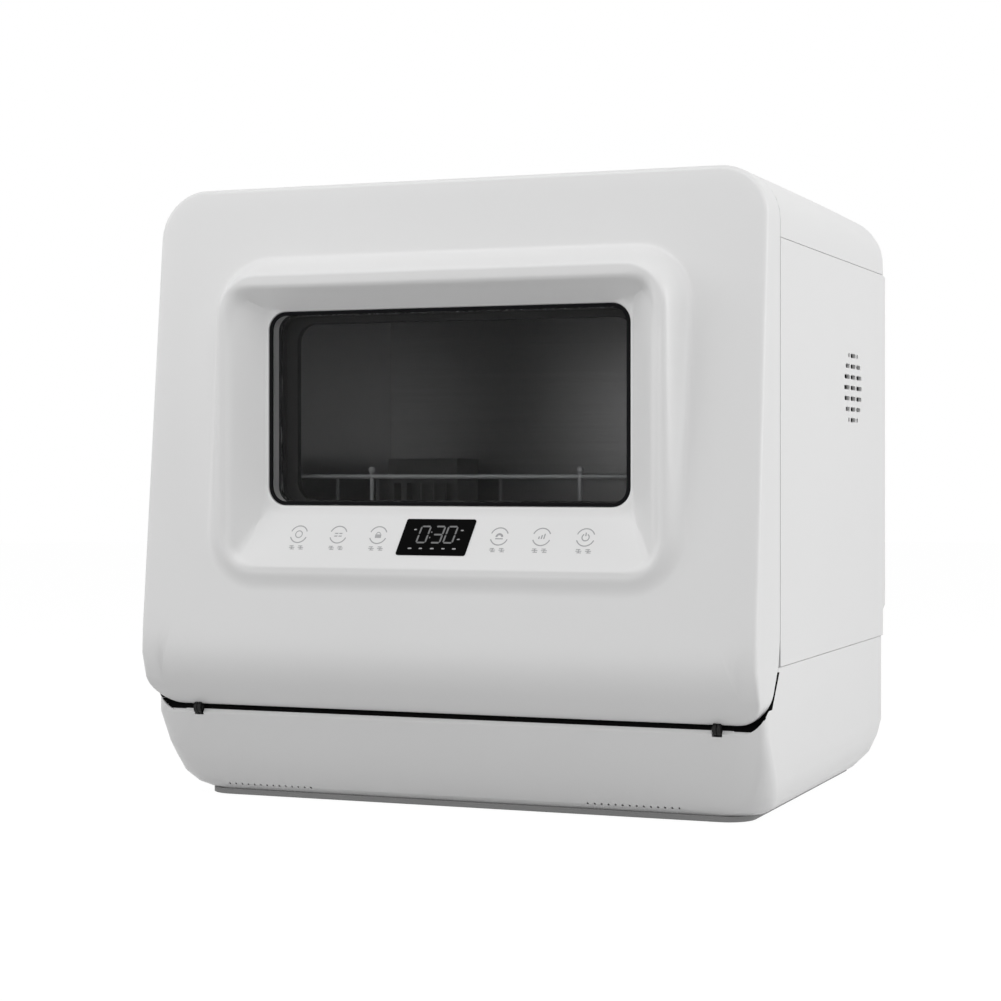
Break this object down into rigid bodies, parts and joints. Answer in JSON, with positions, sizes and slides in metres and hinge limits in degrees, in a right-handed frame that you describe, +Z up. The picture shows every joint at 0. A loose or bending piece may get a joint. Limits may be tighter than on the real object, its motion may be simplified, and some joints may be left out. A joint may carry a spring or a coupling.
{
  "type": "countertop dishwasher",
  "caption": "Countertop dishwasher with a drop-down window door, wire rack that follows the door, spray arm, filter, pumps, fan, tank and rear hose connectors.",
  "frame": {"origin": "middle of the bounding box's underside, on the counter", "axes": "+Z up, the door faces -Y, +X points to the right when the front is looked at"},
  "size_m": [0.45, 0.396, 0.436],
  "materials": {
    "shell_white": "satin, light grey-white moulding",
    "inner_grey": "matte light grey moulding",
    "dark_plastic": "matte black moulding",
    "plinth_grey": "matte mid grey",
    "chamber_steel": "brushed stainless sheet",
    "bright_steel": "zinc-plated steel",
    "wire_coat": "coated wire",
    "tine_coat": "coated wire, lighter",
    "window_black": "gloss black",
    "smoked_glass": "smoked tempered glass",
    "clear_glass": "clear tempered glass",
    "rubber_grey": "grey rubber",
    "rubber_black": "black rubber",
    "board_green": "coated circuit board",
    "rotor_orange": "moulded rotor",
    "mark_grey": "printed grey ring",
    "tank_plastic": "translucent white moulding",
    "lid_white": "satin white moulding"
  },
  "bodies": {
    "cabinet": {"base_tray": "shell_white", "deck_strip": "rubber_black", "plinth": "plinth_grey", "feet": "rubber_black", "side_panel_left": "shell_white", "side_panel_right": "shell_white", "top_cover": "shell_white", "rear_cover": "shell_white", "front_frame": "inner_grey", "tub": "chamber_steel", "door_seal": "rubber_grey", "rack_rails": "inner_grey", "sump": "dark_plastic", "filter_plate": "chamber_steel", "heater": "bright_steel", "spray_hub": "inner_grey", "top_nozzle": "inner_grey", "wash_pump": "dark_plastic", "drain_pump": "dark_plastic", "pump_hoses": "rubber_black", "inlet_valve": "dark_plastic", "drain_outlet": "dark_plastic", "water_tank": "tank_plastic", "fill_port": "lid_white", "fan_housing": "dark_plastic", "power_board": "board_green", "cable_gland": "dark_plastic", "hinge_brackets": "bright_steel", "hinge_pins": "bright_steel", "lock_housing": "dark_plastic", "screws": "bright_steel"},
    "door": {"door_shell": "shell_white", "window_trim": "window_black", "window_glass": "smoked_glass", "door_liner": "inner_grey", "inner_glass": "clear_glass", "display_window": "window_black", "control_board": "board_green", "touch_marks": "mark_grey", "door_strike": "bright_steel", "detergent_cup": "inner_grey", "hinge_arms": "bright_steel"},
    "rack": {"rack_frame": "wire_coat", "rack_tines": "tine_coat", "rack_glides": "inner_grey"},
    "basket": {"cutlery_basket": "plinth_grey"},
    "detergent_flap": {"detergent_lid": "lid_white"},
    "fill_flap": {"fill_lid": "lid_white"},
    "sprayer": {"spray_arm": "inner_grey"},
    "wash_rotor": {"wash_impeller": "rotor_orange"},
    "drain_rotor": {"drain_impeller": "rotor_orange"},
    "fan": {"fan_rotor": "dark_plastic"},
    "filter": {"filter_cup": "inner_grey"},
    "level_float": {"float": "lid_white"},
    "bolt": {"lock_bolt": "bright_steel"}
  },
  "joints": [
    {"name": "door_hinge", "type": "hinge", "parent": "cabinet", "child": "door", "pos_m": [0, -0.1715, 0.0665], "axis": [1, 0, 0], "range_deg": [0, 90]},
    {"name": "rack_slide", "type": "slide", "parent": "cabinet", "child": "rack", "axis": [0, -1, 0], "range_m": [0, 0.126]},
    {"name": "basket_lift", "type": "slide", "parent": "rack", "child": "basket", "axis": [0, 0, 1], "range_m": [0, 0.1]},
    {"name": "detergent_slide", "type": "slide", "parent": "door", "child": "detergent_flap", "axis": [-1, 0, 0], "range_m": [0, 0.064]},
    {"name": "fill_lid_hinge", "type": "hinge", "parent": "cabinet", "child": "fill_flap", "pos_m": [-0.11, 0.1305, 0.42801], "axis": [-1, 0, 0], "range_deg": [0, 100]},
    {"name": "spray_turn", "type": "hinge", "parent": "cabinet", "child": "sprayer", "pos_m": [0, 0.0095, 0.129], "axis": [0, 0, 1], "continuous": true},
    {"name": "wash_turn", "type": "hinge", "parent": "cabinet", "child": "wash_rotor", "pos_m": [0.065, 0.0855, 0.048], "axis": [1, 0, 0], "continuous": true},
    {"name": "drain_turn", "type": "hinge", "parent": "cabinet", "child": "drain_rotor", "pos_m": [-0.063, 0.0855, 0.048], "axis": [1, 0, 0], "continuous": true},
    {"name": "fan_turn", "type": "hinge", "parent": "cabinet", "child": "fan", "pos_m": [0.205, 0.0765, 0.297], "axis": [1, 0, 0], "continuous": true},
    {"name": "filter_twist", "type": "hinge", "parent": "cabinet", "child": "filter", "pos_m": [0, 0.0855, 0.1], "axis": [0, 0, 1], "range_deg": [0, 60]},
    {"name": "float_lift", "type": "slide", "parent": "cabinet", "child": "level_float", "axis": [0, 0, 1], "range_m": [0, 0.008]},
    {"name": "bolt_slide", "type": "slide", "parent": "cabinet", "child": "bolt", "axis": [1, 0, 0], "range_m": [0, 0.015]}
  ],
  "couplings": [
    {"joint": "rack_slide", "follows": "door_hinge", "m_per_rad": 0.08}
  ]
}
